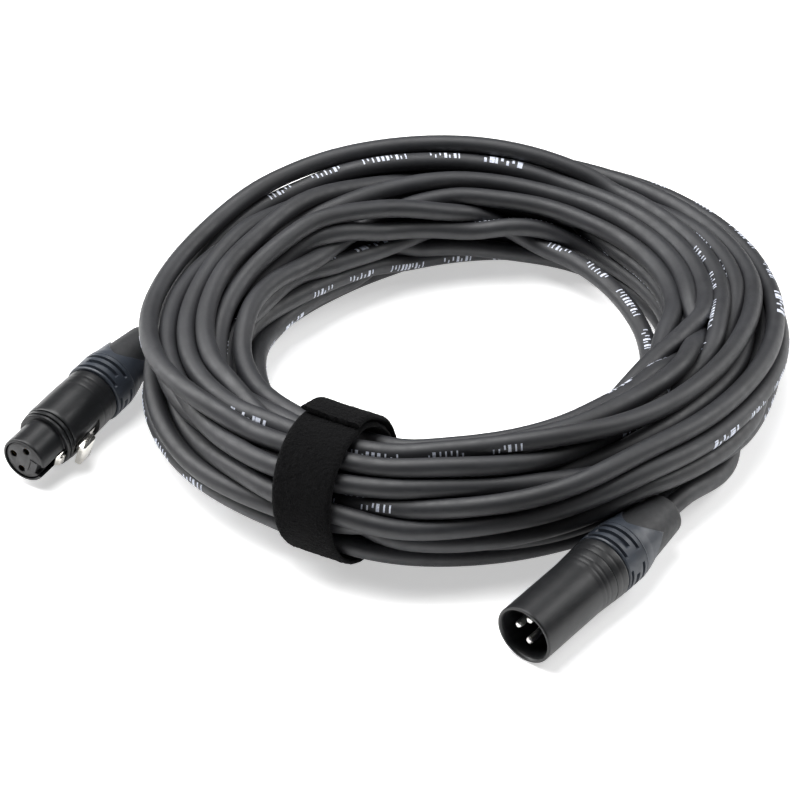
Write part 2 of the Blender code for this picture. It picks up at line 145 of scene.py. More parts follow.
def noise(made, scale, detail=4.0, roughness=0.55, stretch=(1.0, 1.0, 1.0)):
    """The Fac output of a noise texture in the row frame, stretched along an axis where asked."""
    nodes, links = made.node_tree.nodes, made.node_tree.links
    place = nodes.new("ShaderNodeTexCoord")
    mapping = nodes.new("ShaderNodeMapping")
    mapping.inputs["Scale"].default_value = stretch
    texture = nodes.new("ShaderNodeTexNoise")
    texture.inputs["Scale"].default_value = scale
    texture.inputs["Detail"].default_value = detail
    texture.inputs["Roughness"].default_value = roughness
    links.new(place.outputs["Object"], mapping.inputs["Vector"])
    links.new(mapping.outputs["Vector"], texture.inputs["Vector"])
    return texture.outputs["Fac"]


def set_range(node, spread, wanted):
    """Sets a Map Range node to take one range of values to another."""
    node.inputs["From Min"].default_value, node.inputs["From Max"].default_value = spread
    node.inputs["To Min"].default_value, node.inputs["To Max"].default_value = wanted


def tinted(made, value, dark, light):
    """The base colour goes from dark to light with the value."""
    nodes, links = made.node_tree.nodes, made.node_tree.links
    ramp = nodes.new("ShaderNodeValToRGB")
    for stop, position, colour in zip(ramp.color_ramp.elements, (TINT_FROM, TINT_TO), (dark, light)):
        stop.position = position
        stop.color = (*colour, 1.0)
    links.new(value, ramp.inputs["Fac"])
    links.new(ramp.outputs["Color"], nodes["Principled BSDF"].inputs["Base Color"])


def varied_roughness(made, value, low, high):
    """The roughness goes from low to high over a noise's usual spread."""
    nodes, links = made.node_tree.nodes, made.node_tree.links
    ranged = nodes.new("ShaderNodeMapRange")
    set_range(ranged, NOISE_SPREAD, (low, high))
    links.new(value, ranged.inputs["Value"])
    links.new(ranged.outputs["Result"], nodes["Principled BSDF"].inputs["Roughness"])


def bumped(made, value, depth, strength):
    """A bump of that depth in metres, laid over any bump already there."""
    nodes, links = made.node_tree.nodes, made.node_tree.links
    shader = nodes["Principled BSDF"]
    bump = nodes.new("ShaderNodeBump")
    bump.inputs["Strength"].default_value = strength
    bump.inputs["Distance"].default_value = depth
    links.new(value, bump.inputs["Height"])
    below = shader.inputs["Normal"].links
    if below:
        links.new(below[0].from_socket, bump.inputs["Normal"])
    links.new(bump.outputs["Normal"], shader.inputs["Normal"])


def jacket_material():
    """Matt PVC: dust and handling change its tone a little, and it has a fine extruded grain."""
    made = surface("pvc_jacket", (0.017, 0.018, 0.021), 0.55, specular=0.66)
    tinted(made, noise(made, 38.0, 5.0), (0.013, 0.0135, 0.016), (0.021, 0.022, 0.026))
    varied_roughness(made, noise(made, 260.0, 4.0), 0.49, 0.62)
    bumped(made, noise(made, 2600.0, 3.0), 0.00003, 0.5)
    return made


def print_material():
    """White ink that has rubbed thin in places."""
    made = surface("white_ink", (0.66, 0.70, 0.80), 0.55)
    tinted(made, noise(made, 1400.0, 3.0), (0.50, 0.54, 0.66), (0.80, 0.83, 0.90))
    return made


def shell_material():
    """Black-plated zinc, satin, with fine turning marks and rubbed spots."""
    made = surface("black_plated_zinc", (0.010, 0.0105, 0.012), 0.36, specular=0.4)
    tinted(made, noise(made, 60.0, 3.0), (0.0085, 0.009, 0.010), (0.0125, 0.013, 0.0145))
    varied_roughness(made, noise(made, 300.0, 3.0), 0.34, 0.42)
    bumped(made, noise(made, 3000.0, 2.0), 0.000005, 0.3)
    return made


def moulded(name, dark, light, low, high, grain=2200.0):
    """Moulded plastic or rubber: a slightly uneven tone and a fine eroded grain."""
    made = surface(name, light, high)
    tinted(made, noise(made, 140.0, 4.0), dark, light)
    varied_roughness(made, noise(made, 600.0, 4.0), low, high)
    bumped(made, noise(made, grain, 3.0), 0.00002, 0.5)
    return made


def metal(name, dark, light, low, high):
    """Plated or sprung metal with short scratches and a slightly clouded plating."""
    made = surface(name, light, low, metallic=1.0)
    tinted(made, noise(made, 300.0, 5.0), dark, light)
    varied_roughness(made, noise(made, 700.0, 5.0, stretch=SCRATCHES), low, high)
    bumped(made, noise(made, 1800.0, 3.0, stretch=SCRATCHES), 0.000003, 0.3)
    return made


def fabric_material():
    """Brushed loop pile: tangled fibres, with the shade between them painted into the tone as a fine dark
    speckle.
    """
    made = surface("loop_pile", (0.003, 0.003, 0.0034), 0.95, specular=0.08, sheen=0.02)
    nodes, links = made.node_tree.nodes, made.node_tree.links
    pile = nodes.new("ShaderNodeTexVoronoi")
    pile.inputs["Scale"].default_value = 2300.0
    place = nodes.new("ShaderNodeTexCoord")
    links.new(place.outputs["Object"], pile.inputs["Vector"])
    # Painted shade: a fine speckle from near black to dark grey stands for the shade between the fibres.
    tinted(made, noise(made, 2600.0, 6.0, 0.8), (0.0006, 0.0006, 0.0007), (0.0110, 0.0110, 0.0118))
    bumped(made, pile.outputs["Distance"], 0.00025, 0.8)
    bumped(made, noise(made, 1100.0, 7.0, 0.75), 0.0004, 0.9)
    return made


# ------------------------------ meshes


def add_mesh(name, points, faces, finish, smooth=True, sharp=40.0):
    """A mesh object from points in millimetres, with its faces as given."""
    mesh = bpy.data.meshes.new(name)
    mesh.from_pydata([tuple(p) for p in np.asarray(points, float) * MM], [], [tuple(f) for f in faces])
    mesh.validate()
    mesh.materials.append(finish)
    if smooth:
        mesh.shade_smooth()
        mesh.set_sharp_from_angle(angle=math.radians(sharp))
    obj = bpy.data.objects.new(name, mesh)
    bpy.context.scene.collection.objects.link(obj)
    return obj


def grid_faces(rows, columns, rows_close, columns_close):
    """Quads of a grid of points stored row by row."""
    i = np.arange(rows if rows_close else rows - 1)[:, None]
    j = np.arange(columns if columns_close else columns - 1)[None, :]
    after_i, after_j = (i + 1) % rows, (j + 1) % columns
    corners = [i * columns + j, after_i * columns + j, after_i * columns + after_j, i * columns + after_j]
    return np.stack([np.broadcast_to(c, (i.size, j.size)).ravel() for c in corners], 1)


def outward(obj):
    """Turns the faces of a closed mesh outwards."""
    bm = bmesh.new()
    bm.from_mesh(obj.data)
    bmesh.ops.recalc_face_normals(bm, faces=bm.faces)
    bm.to_mesh(obj.data)
    bm.free()
    return obj


def lathe(name, profile, finish, place, steps=96, relief=None, sharp=32.0):
    """A ring-shaped body turned about X. profile is a closed loop of (x, radius), and relief(x, r, turn)
    moves the points of the loop at each turn."""
    x, r = np.array(profile, float).T
    turn = np.linspace(0, TAU, steps, endpoint=False)
    x = np.repeat(x[:, None], steps, 1)
    r = np.repeat(r[:, None], steps, 1)
    if relief:
        x, r = relief(x, r, turn[None, :])
    points = np.stack([x, r * np.cos(turn), r * np.sin(turn)], -1).reshape(-1, 3)
    obj = add_mesh(name, points, grid_faces(len(profile), steps, True, True), finish, sharp=sharp)
    outward(obj).data.transform(place)
    return obj


def applied(obj):
    """Makes the object's modifiers part of its mesh."""
    graph = bpy.context.evaluated_depsgraph_get()
    mesh = bpy.data.meshes.new_from_object(obj.evaluated_get(graph))
    obj.modifiers.clear()
    obj.data = mesh
    return obj


def block(outline, half_width, place, finish):
    """A plate with its outline in (x, z), used to cut or to join."""
    count = len(outline)
    points = [(x, side * half_width, z) for side in (-1, 1) for x, z in outline]
    faces = [tuple(range(count)), tuple(range(count, 2 * count))]
    faces += [(k, (k + 1) % count, (k + 1) % count + count, k + count) for k in range(count)]
    obj = add_mesh("tool", points, faces, finish, smooth=False)
    outward(obj).data.transform(place)
    return obj


def combine(target, tool, operation):
    """Joins the tool to the target or cuts it out, and removes the tool."""
    boolean = target.modifiers.new(operation, "BOOLEAN")
    boolean.operation = operation
    boolean.object = tool
    applied(target)
    bpy.data.objects.remove(tool)


WELD_WITHIN = 0.002
FLAT_WITHIN, ROUNDED_FROM, SHARP_FROM = math.radians(1), math.radians(35), math.radians(38)


def softened(node, width, finish, body, extra=None):
    """A copy of a CAD node with its edges rounded, in the node's place, with an extra block joined on."""
    source = NODES[node]
    obj = source.copy()
    obj.data = source.data.copy()
    obj.name = f"{node}_finished"
    obj.parent = None
    for key in [k for k in obj.keys() if k.startswith("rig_")]:
        del obj[key]
    bpy.context.scene.collection.objects.link(obj)
    bm = bmesh.new()
    bm.from_mesh(obj.data)
    bmesh.ops.remove_doubles(bm, verts=bm.verts, dist=WELD_WITHIN * MM)
    bmesh.ops.dissolve_limit(bm, angle_limit=FLAT_WITHIN, verts=bm.verts, edges=bm.edges)
    bm.to_mesh(obj.data)
    bm.free()
    if extra:
        combine(obj, extra, "UNION")
    bevel = obj.modifiers.new("bevel", "BEVEL")
    bevel.width = width * MM
    bevel.segments = 2
    bevel.limit_method = "ANGLE"
    bevel.angle_limit = ROUNDED_FROM
    applied(obj)
    obj.data.shade_smooth()
    obj.data.set_sharp_from_angle(angle=SHARP_FROM)
    obj.data.materials.clear()
    obj.data.materials.append(finish)
    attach(obj, body)
    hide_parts(node)


# ------------------------------ the cord: its winding

CABLE_RADIUS = 3.2

# The bundle's middle line is a circle, drawn out one way, shifted a little and slightly three-cornered.
COIL_CENTRE = np.array([18.2, 16.0])
COIL_RADIUS, COIL_OVAL, COIL_SHIFT, COIL_CORNER = 84.6, 7.1, 1.5, 2.1
# Its section is widest and lowest where the turns lie loosest, and narrowest under the tie.
BUNDLE_HALF_WIDTH, BUNDLE_HALF_HEIGHT = 22.3, 19.8
SPREAD_WIDTH, SPREAD_HEIGHT, SIDE_FLATTENING = 3.4, 3.0, 2.9
MIDDLE_DROP = 0.0603
LOOSEST_AT = math.radians(30)
TIE_AT, TIE_REACH = math.radians(-117.2), math.radians(17)
TIED_RADIUS, TIED_HALF_WIDTH, TIED_HALF_HEIGHT = 89.0, 20.2, 19.6
UNDER_TIE = 1.9

SLICES = 96
STEP_ANGLE = TAU / SLICES
FIRST_ANGLE = math.radians(150)
FULL_TURNS = 27
LAST_STEP = FULL_TURNS * SLICES + 42

MALE_FACE, MALE_BOOT_END = Vector((33.6, -119.1, 9.8)), Vector((79.8, -63.5, 11.2))
FEMALE_FACE, FEMALE_BOOT_END = Vector((-123.3, -36.0, 9.9)), Vector((-89.3, 25.0, 11.2))
MALE_ROLL, FEMALE_ROLL = math.radians(90), math.radians(109)
JACKET_START, BOOT_END, STRAIGHT_RUN = 35.7, 72.0, 12.0
MALE_ROUTE = [(95.5, -43.7, 7.5), (102.2, -32.2, 4.0), (105.6, -19.0, 3.5), (106.3, -6.5, 3.5)]
FEMALE_ROUTE = [(-78.3, 43.2, 10.5), (-71.2, 51.5, 9.8), (-64.0, 58.5, 9.3)]
ROUTE_STEP = 5.6
# The connectors' rears, which the turns keep off: (distance behind the face, radius).
REARS = [
    (44, 10.5), (47, 10.5), (50, 10.3), (53, 9.9), (56, 9.5), (58, 9.2), (61, 8.8), (64, 8.4), (67, 7.8),
    (70, 7.2), (73, 6.5), (75.5, 6.3),
]

# Three turns that lie loose: (angle in degrees, offset from the bundle's middle, height).
OUTER_LOOP = [
    (252, 2.5, 38.5), (243, 3.0, 37.6), (235, 4.0, 40.0), (222, 9.0, 41.6), (206, 16.5, 40.0),
    (190, 19.0, 35.5), (172, 17.0, 34.0), (157, 17.5, 35.5), (144, 19.5, 38.0), (132, 20.0, 40.0),
    (120, 17.5, 41.8), (107, 14.0, 42.0), (96, 9.8, 42.0), (85, 4.6, 42.0), (71, -3.2, 41.5),
    (58, -7.8, 40.5),
]
INNER_LOOP = [
    (135, -9.0, 40.0), (110, -14.0, 37.0), (97, -16.0, 31.0), (84, -16.3, 23.5), (73, -17.5, 16.5),
    (60, -22.5, 13.0), (47, -27.8, 13.0), (35, -30.0, 13.0), (22, -27.8, 12.8), (10, -23.0, 12.5),
    (0, -19.8, 13.0), (-10, -17.3, 14.0), (-25, -15.5, 14.0),
]
SECOND_LOOP = [
    (158, 13.0, 31.0), (144, 14.9, 33.4), (132, 15.4, 35.4), (120, 12.9, 37.2), (107, 9.4, 37.4),
    (96, 5.2, 37.4), (85, 0.0, 37.4), (71, -7.6, 36.9),
]
# Which turn each of them is, counted from the female connector.
LED_TURNS = [(20, OUTER_LOOP), (17, SECOND_LOOP), (23, INNER_LOOP)]
EASE_STEPS = 44

# The places in the bundle's section that the turns start from, and how each turn wanders about its place.
WINDING_SEED = 19
CELL_PITCH, CELL_ROWS = 0.345, range(-6, 7)
FIRST_CELL, CELL_STRAY = (0.9, -0.5), 0.55
WAVES, WAVE_PERIOD, WAVE_SIZE, WAVE_DRIFT, WAVE_BEND = 5, (0.35, 1.3), (0.10, 0.2), (0.5, 1.5), 2.3

# Where the bundle opens out from its usual section: (middle, reach) in degrees.
AT_GAP, AT_RIGHT, AT_BACK_RIGHT, AT_BACK_LEFT = (32, 38), (8, 34), (28, 34), (118, 36)
GAP_TO, RIGHT_WIDER, RIGHT_HIGHER = 13.5, 2.5, 1.2
BACK_WIDER, BACK_HIGHER, BACK_OUT = 2.0, 0.8, 3.0

# How finely the cord is drawn.
SPLINE_PER, CORD_STEP, CORD_SIDES = 3, 3.4, 14

# How the winding is solved: the rounds, the clearances, and how far every step sinks in a round.
ROUNDS = 420
CLEAR, WALL_CLEAR, FLOOR_CLEAR, REAR_CLEAR = 0.12, 0.1, 0.05, 0.25
SINKING = 0.02
LOOSE_SPACING, LOOSE_PUSH = 7.4, 0.03
CROSS_WITHIN, CROSS_LIFT, CROSS_REACH = 8.5, 0.9, 7
END_STEPS, HELD_STEPS = 8, 6
BEND_FROM, BEND_SPAN, MOST_EASED = 0.28, 0.3, 0.6


def near_tie(angle):
    """1 under the tie, and 0 well away from it."""
    away = np.abs((angle - TIE_AT + math.pi) % TAU - math.pi) / TIE_REACH
    return 1.0 / (1.0 + away**6)


def near(angle, middle, reach):
    """1 near an angle in degrees, and 0 well away from it."""
    return np.exp(-((((np.degrees(angle) - middle + 180) % 360 - 180) / reach) ** 4))


def coil_radius(angle):
    loose = COIL_RADIUS + COIL_OVAL * np.sin(2 * angle)
    loose = loose + COIL_SHIFT * np.cos(angle) - COIL_CORNER * np.cos(3 * angle)
    tied = near_tie(angle)
    return (1 - tied) * loose + tied * TIED_RADIUS


def bundle_size(angle):
    """The bundle's half width and half height."""
    loose = np.cos(angle - LOOSEST_AT)
    side = SIDE_FLATTENING * np.cos(2 * (angle - LOOSEST_AT))
    tied = near_tie(angle)
    width = (1 - tied) * (BUNDLE_HALF_WIDTH + SPREAD_WIDTH * loose + side) + tied * TIED_HALF_WIDTH
    height = (1 - tied) * (BUNDLE_HALF_HEIGHT - SPREAD_HEIGHT * loose - side) + tied * TIED_HALF_HEIGHT
    return width, height


def on_coil(angle, offset, height):
    """Points from angles around the coil, offsets from the bundle's middle and heights."""
    radius = coil_radius(angle) + offset
    x, y = COIL_CENTRE[0] + radius * np.cos(angle), COIL_CENTRE[1] + radius * np.sin(angle)
    return np.stack([x, y, height], -1)


def around_coil(point):
    """The offset from the bundle's middle and the height of one point."""
    away = np.array(point[:2]) - COIL_CENTRE
    return np.hypot(*away) - float(coil_radius(np.arctan2(away[1], away[0]))), float(point[2])


def smooth_route(points, step):
    """Points about a step apart on the Catmull-Rom curve through the given points."""
    p = np.array([tuple(q) for q in points], float)
    p = np.vstack([2 * p[0] - p[1], p, 2 * p[-1] - p[-2]])
    pieces = []
    for before, start, end, after in zip(p, p[1:], p[2:], p[3:]):
        count = max(2, round(float(np.linalg.norm(end - start)) / step))
        t = np.arange(count)[:, None] / count
        bend = 2 * before - 5 * start + 4 * end - after
        twist = 3 * start - before - 3 * end + after
        pieces.append(start + ((end - before) * t + bend * t**2 + twist * t**3) / 2)
    return np.vstack([*pieces, p[-2:-1]])


def end_route(face, boot_end, route):
    """The cord from its clamp in the connector to where it dives into the coil."""
    along = (boot_end - face).normalized()
    start = boot_end + along * (JACKET_START - BOOT_END)
    return smooth_route([start, boot_end, boot_end + along * STRAIGHT_RUN, *route], ROUTE_STEP)


def wandering_cells(rng, count):
    """Where each turn lies in the bundle: places in the unit circle, each near the one before."""
    cells = [
        ((i + 0.5 * (j % 2)) * CELL_PITCH, j * CELL_PITCH * math.sqrt(0.75))
        for j in CELL_ROWS
        for i in CELL_ROWS
    ]
    cells = np.array([c for c in cells if c[0] ** 2 + c[1] ** 2 < 1.0])
    cells = cells[np.argsort((cells**2).sum(1))[:count]]
    path = [int(np.argmin(np.hypot(cells[:, 0] - FIRST_CELL[0], cells[:, 1] - FIRST_CELL[1])))]
    left = set(range(count)) - set(path)
    while left:
        away = {q: np.hypot(*(cells[q] - cells[path[-1]])) + CELL_STRAY * rng.random() for q in sorted(left)}
        path.append(min(away, key=away.get))
        left.discard(path[-1])
    return cells[path]


def winding_aims(rng, index, angle, width, height, middle):
    """Where each step of the cord would lie if nothing pushed it: its turn's place, wandering slowly."""
    base = wandering_cells(rng, FULL_TURNS + 2)
    turn = index / SLICES
    low = np.clip(np.floor(turn).astype(int), 0, len(base) - 2)
    part = turn - low
    part = (part * part * (3 - 2 * part))[:, None]
    place = base[low] * (1 - part) + base[low + 1] * part
    for _ in range(WAVES):
        period = rng.uniform(*WAVE_PERIOD)
        for axis in range(2):
            size = rng.uniform(*WAVE_SIZE)
            phase, drift = rng.random(), rng.uniform(*WAVE_DRIFT)
            wave = np.sin(TAU * (turn / period + phase) + WAVE_BEND * np.sin(turn * drift))
            place[:, axis] += size * wave * (1 - 0.75 * near_tie(angle))
    place /= np.maximum(1.0, np.linalg.norm(place, axis=1))[:, None]
    return np.stack([place[:, 0] * width, middle + place[:, 1] * height], 1)


def set_by_hand(aims, led, turn, marks):
    """Leads one turn through the marks, and eases the cord into and out of them."""
    marks = np.array(marks, float)
    at = (math.degrees(FIRST_ANGLE) - marks[:, 0]) / 360 * SLICES + turn * SLICES
    steps = np.arange(math.ceil(at[0]), math.floor(at[-1]) + 1)
    aims[steps, 0] = np.interp(steps, at, marks[:, 1])
    aims[steps, 1] = np.interp(steps, at, marks[:, 2])
    led[steps] = True
    for end, way in ((steps[0], -1), (steps[-1], 1)):
        for k in range(1, EASE_STEPS):
            here = end + way * k
            share = (k / EASE_STEPS) ** 2 * (3 - 2 * k / EASE_STEPS)
            aims[here] = aims[end] * (1 - share) + aims[here] * share


def keep_off_places(routes):
    """Centres and radii of balls along the connectors' rears and the cord's two ends."""
    centres, radii = [], []
    for route in routes:
        centres += list(route[:-3])
        radii += [CABLE_RADIUS] * (len(route) - 3)
    for face, boot_end in ((MALE_FACE, MALE_BOOT_END), (FEMALE_FACE, FEMALE_BOOT_END)):
        along = (boot_end - face).normalized()
        for x, radius in REARS:
            centres.append(np.array(face + along * x))
            radii.append(radius)
    return np.array(centres), np.array(radii)


def lift_over(place, apart, pairs, rank):
    """Where two turns change sides between neighbouring slices, one goes over the other."""
    following = np.empty_like(apart)
    following[:, :, :-1] = apart[:, :, 1:]
    following[:-1, :-1, -1] = apart[1:, 1:, 0]
    following[-1, :, -1] = apart[-1, :, -1]
    following[:, -1, -1] = apart[:, -1, -1]
    close = np.linalg.norm(apart, axis=-1) < CROSS_WITHIN
    close &= np.linalg.norm(following, axis=-1) < CROSS_WITHIN
    swapped = np.argwhere(((apart * following).sum(-1) < 0) & pairs & close)
    for one, other, k in swapped[swapped[:, 0] < swapped[:, 1]]:
        a, b = one * SLICES + k, other * SLICES + k
        reach = np.arange(2 - CROSS_REACH, CROSS_REACH)
        reach = reach[(a + reach >= END_STEPS) & (b + reach < LAST_STEP - END_STEPS)]
        if len(reach):
            above = (place[a + reach, 1] - place[b + reach, 1]).mean() + 0.5 * (rank[a] - rank[b])
            lift = CROSS_LIFT * np.cos((reach - 0.5) / CROSS_REACH * math.pi / 2)
            lift = lift * (1.0 if above >= 0 else -1.0)
            place[a + reach, 1] += lift
            place[b + reach, 1] -= lift


def unbend(place, least):
    """Eases each step towards its neighbours, most where the cord bends tightly."""
    for _ in range(2):
        bend = (place[: LAST_STEP - 1] + place[2 : LAST_STEP + 1]) / 2 - place[1:LAST_STEP]
        size = np.hypot(bend[:, 0], bend[:, 1])
        size = np.maximum.reduce([np.roll(size, q) for q in (-2, -1, 0, 1, 2)])
        tight = np.clip((size - BEND_FROM) / BEND_SPAN, 0, 1)
        eased = place.copy()
        eased[1:LAST_STEP] += (least + (MOST_EASED - least) * tight)[:, None] * bend
        place = eased
    return place


def push_apart(place, rank, pairs, late, cross):
    """Pushes the turns of each slice off each other. A turn that starts above another passes over it."""
    slices, ranks = place.reshape(-1, SLICES, 2), rank.reshape(-1, SLICES)
    apart = slices[:, None] - slices[None, :]
    rise = apart[..., 1] + np.clip(ranks[:, None] - ranks[None, :], -1.2, 1.2) * 0.5 * (1 - late)
    distance = np.sqrt(apart[..., 0] ** 2 + rise**2) + 1e-6
    push = (0.30 + 0.2 * late) * np.clip(2 * CABLE_RADIUS + CLEAR - distance, 0, None) * pairs
    push += np.clip(LOOSE_SPACING - distance, 0, None) * pairs * LOOSE_PUSH * (1 - late)
    moved = [(push * side / distance).sum(1) for side in (apart[..., 0], rise)]
    place = (slices + np.stack(moved, -1)).reshape(-1, 2)
    if cross:
        lift_over(place, apart, pairs, rank)
    return place


def keep_off(place, angle, balls, radii):
    """Moves the steps that touch a ball straight off it, except at the cord's own two ends."""
    total = LAST_STEP + 1
    away = on_coil(angle[:total], place[:total, 0], place[:total, 1])[:, None, :] - balls[None]
    gap = np.linalg.norm(away, axis=2)
    inside = np.clip(radii[None] + CABLE_RADIUS + REAR_CLEAR - gap, 0, None)
    inside[:HELD_STEPS] = 0
    inside[-HELD_STEPS:] = 0
    worst = np.argmax(inside, axis=1)
    shift = (away / gap[..., None] * inside[..., None])[np.arange(total), worst]
    outwards = np.stack([np.cos(angle), np.sin(angle)], 1)
    place[:total, 0] += (shift[:, :2] * outwards[:total]).sum(1)
    place[:total, 1] += shift[:, 2]


def wind():
    """The cord's centreline. Each turn is pushed off its neighbours, kept inside the bundle's outline, off
    the floor and off the connectors, and bends as little as it can."""
    rng = np.random.default_rng(WINDING_SEED)
    turns, last = FULL_TURNS + 1, LAST_STEP
    index = np.arange(turns * SLICES)
    angle = FIRST_ANGLE - index * STEP_ANGLE
    width, height = bundle_size(angle)
    tied = near_tie(angle)
    middle = tied * UNDER_TIE + height * (1 - MIDDLE_DROP * (1 - tied))
    width, height = width - CABLE_RADIUS - WALL_CLEAR, height - CABLE_RADIUS - WALL_CLEAR
    # A gap shows between the inner loop and the bundle, so the other turns keep clear of it.
    inner = -width + (width - GAP_TO) * near(angle, *AT_GAP)
    width = width + RIGHT_WIDER * near(angle, *AT_RIGHT) + BACK_WIDER * near(angle, *AT_BACK_LEFT)
    height = height + BACK_HIGHER * near(angle, *AT_BACK_LEFT) + RIGHT_HIGHER * near(angle, *AT_BACK_RIGHT)
    out = BACK_OUT * near(angle, *AT_BACK_LEFT)
    aims = winding_aims(rng, index, angle, width, height, middle)
    led = np.zeros(len(index), bool)
    for turn, marks in LED_TURNS:
        set_by_hand(aims, led, turn, marks)
    free = ~led | (tied > 0.2)
    female = end_route(FEMALE_FACE, FEMALE_BOOT_END, FEMALE_ROUTE)
    male = end_route(MALE_FACE, MALE_BOOT_END, MALE_ROUTE)
    balls, radii = keep_off_places((female, male))
    (start, start_z), (stop, _) = around_coil(female[-1]), around_coil(male[-1])
    # The winding's first and last steps stay in line with the routes to the connectors.
    held = {
        0: (start - 0.6, start_z),
        1: (start - 2.0, start_z - 0.4),
        last: (stop - 1.3, 3.4),
        last - 1: (stop - 2.2, 3.4),
    }
    floor = CABLE_RADIUS + FLOOR_CLEAR + tied * UNDER_TIE
    used = (index <= last).reshape(turns, SLICES)
    pairs = used[:, None] & used[None, :]
    pairs[np.arange(turns), np.arange(turns)] = False
    place, rank = aims.copy(), aims[:, 1].copy()
    for count in range(ROUNDS):
        late = count / ROUNDS
        place = unbend(place, 0.5 * (1 - 0.45 * late))
        pull = np.where(led, 0.30 * (1 - late) ** 1.5 + 0.015, 0.02 * (1 - 0.6 * late))
        place += (aims - place) * pull[:, None]
        place = push_apart(place, rank, pairs, late, count % 3 == 0 and count < ROUNDS * 0.9)
        place[:, 0] = np.where(led, place[:, 0], np.maximum(place[:, 0], inner))
        x, y = (place[:, 0] - out) / width, (place[:, 1] - middle) / height
        outside = np.hypot(x, y)
        scale = np.where((outside > 1) & free, 1 / np.maximum(outside, 1e-6), 1.0)
        place[:, 0] = out + x * width * scale
        place[:, 1] = np.maximum(middle + y * height * scale - SINKING, floor)
        keep_off(place, angle, balls, radii)
        place[:, 1] = np.maximum(place[:, 1], floor)
        for step, value in held.items():
            place[step] = value
    points = on_coil(angle[: last + 1], place[: last + 1, 0], place[: last + 1, 1])
    return np.vstack([female, points, male[::-1]])


def b_spline(points):
    """Points on the uniform cubic B-spline with the given corners, and both end corners themselves."""
    p = np.vstack([2 * points[0] - points[1], points, 2 * points[-1] - points[-2]])
    t = (np.arange(SPLINE_PER) / SPLINE_PER)[None, :, None]
    a, b, c, d = (p[i : len(p) - 3 + i][:, None] for i in range(4))
    curve = (1 - t) ** 3 * a + (3 * t**3 - 6 * t**2 + 4) * b
    curve = curve + (-3 * t**3 + 3 * t**2 + 3 * t + 1) * c + t**3 * d
    return np.vstack([points[:1], curve.reshape(-1, 3) / 6, points[-1:]])


def evenly(line, step):
    """The line again with points a step apart."""
    along = np.concatenate([[0], np.cumsum(np.linalg.norm(np.diff(line, axis=0), axis=1))])
    at = np.linspace(0, along[-1], round(along[-1] / step) + 1)
    return np.stack([np.interp(at, along, line[:, k]) for k in range(3)], 1)


def cross_axes(line):
    """The tangent of each point and two directions across it, the first as near to upwards as it can be."""
    tangent = np.gradient(line, axis=0)
    tangent /= np.linalg.norm(tangent, axis=1)[:, None]
    up = np.array([0.0, 0.0, 1.0]) - tangent * tangent[:, 2:3]
    up /= np.linalg.norm(up, axis=1)[:, None]
    return tangent, up, np.cross(tangent, up)


def add_cord(finish):
    line = evenly(b_spline(wind()), CORD_STEP)
    _, up, side = cross_axes(line)
    turn = np.linspace(0, TAU, CORD_SIDES, endpoint=False)[None, :, None]
    rings = line[:, None] + CABLE_RADIUS * (np.cos(turn) * up[:, None] + np.sin(turn) * side[:, None])
    faces = [tuple(f) for f in grid_faces(len(line), CORD_SIDES, False, True)]
    for ring in (0, len(line) - 1):
        faces.append(tuple(ring * CORD_SIDES + k for k in range(CORD_SIDES)))
    cord = add_mesh("cable_cord", rings.reshape(-1, 3), faces, finish, sharp=60.0)
    finished_as(outward(cord), "cable", "jacket", "cable_coil", "cable_male_end", "cable_female_end")
    return cord, line


# ------------------------------ the marks printed along the cord

MARKS_FROM, MARKS_EVERY, MARKS_LENGTH = 130.0, 279.0, 260.0
MARKS_MIDDLE = 60.0
MARKS_FACE = np.array([0.0, -0.55, 0.83])
# Each group of bars: how many, their pitch, their width and their height.
PLAIN_BARS, BOLD_BARS = (1.7, 0.5, 2.5), (2.0, 0.95, 3.3)
MARK_GROUPS = [(6, *PLAIN_BARS), (7, *PLAIN_BARS), (10, *PLAIN_BARS), (7, *PLAIN_BARS), (7, *BOLD_BARS)]
GROUP_GAP = 7.5
DASH_LENGTH = 1.9
INK = 0.035
BAR_POINTS = 4
PLACING_SEED, BAR_SEED = 5, 11


def mark_bars(rng):
    """One run of plain bars and dashes: (start along the cord, length, low side, high side)."""
    bars, at = [], 0.0
    whole, cut_low, cut_high, dash = range(4)
    for count, pitch, width, tall in MARK_GROUPS:
        for k in range(count):
            kind = rng.integers(whole, dash + 1)
            low = -tall * 0.08 if kind == cut_low else -tall / 2
            high = tall * 0.12 if kind == cut_high else tall / 2
            bars.append((at + k * pitch, width * (DASH_LENGTH if kind == dash else 1.0), low, high))
        at += count * pitch + GROUP_GAP
    return bars


def bar_faces(base):
    """The faces of one bar: two rows of BAR_POINTS points above, and the same below."""
    n = BAR_POINTS
    top, under = [base + q for q in range(2 * n)], [base + 2 * n + q for q in range(2 * n)]
    faces = [(top[0], top[n], under[n], under[0]), (top[n - 1], under[n - 1], under[-1], top[-1])]
    for q in range(n - 1):
        faces.append((top[q], top[q + 1], top[q + n + 1], top[q + n]))
        faces.append((under[q], under[q + n], under[q + n + 1], under[q + 1]))
        faces.append((top[q], under[q], under[q + 1], top[q + 1]))
        faces.append((top[q + n], top[q + n + 1], under[q + n + 1], under[q + n]))
    return faces


